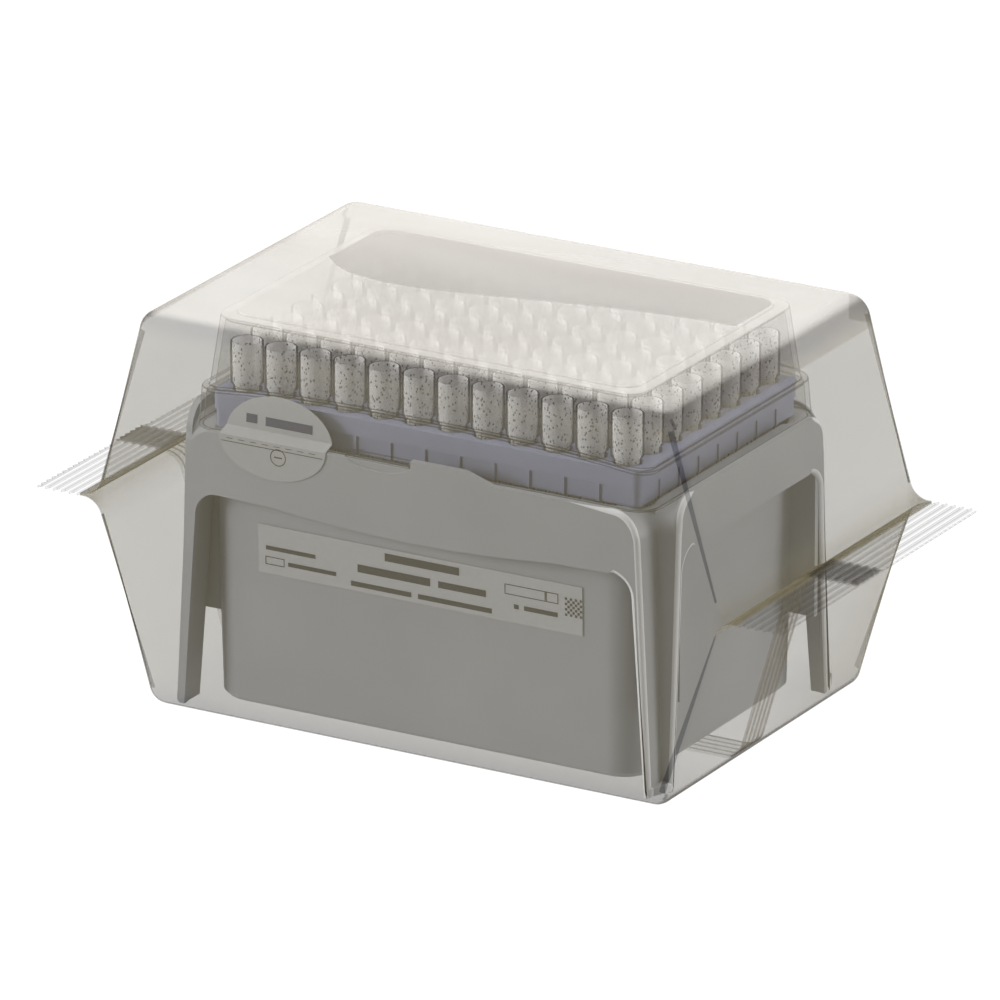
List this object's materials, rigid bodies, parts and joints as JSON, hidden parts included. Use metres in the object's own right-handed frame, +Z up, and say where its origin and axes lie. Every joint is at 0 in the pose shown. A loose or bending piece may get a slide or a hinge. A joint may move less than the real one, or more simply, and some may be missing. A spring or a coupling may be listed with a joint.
{
  "type": "box of pipette tips",
  "caption": "Sterile lab rack with a grid of long pipette tips under a clear lid on a legged base, taped shut with a seal and closed in a clear flow wrap with crimped fins.",
  "frame": {"origin": "middle of the underside, where the wrap's flat bottom stands on a table", "axes": "+X along the columns of tips, toward one fin of the wrap; +Y from the labelled front to the back; +Z up"},
  "size_m": [0.1946, 0.092, 0.0952],
  "materials": {
    "film": "clear, glossy, slightly grey",
    "base": "satin, warm grey",
    "tray": "satin, blue-grey",
    "lid": "clear, frosted on part of its top",
    "tip": "translucent, natural",
    "seal": "smooth printed label",
    "label": "smooth printed label"
  },
  "bodies": {
    "root": {"film_wrap": "film", "base": "base", "rack_tray": "tray", "lid": "lid", "seal_label": "seal", "front_label": "label", "tips_01_front": "tip", "tips_01_back": "tip", "tips_02_front": "tip", "tips_02_back": "tip", "tips_03_front": "tip", "tips_03_back": "tip", "tips_04_front": "tip", "tips_04_back": "tip", "tips_05_front": "tip", "tips_05_back": "tip", "tips_06_front": "tip", "tips_06_back": "tip", "tips_07_front": "tip", "tips_07_back": "tip", "tips_08_front": "tip", "tips_08_back": "tip", "tips_09_front": "tip", "tips_09_back": "tip", "tips_10_front": "tip", "tips_10_back": "tip", "tips_11_front": "tip", "tips_11_back": "tip", "tips_12_front": "tip", "tips_12_back": "tip"}
  },
  "joints": []
}
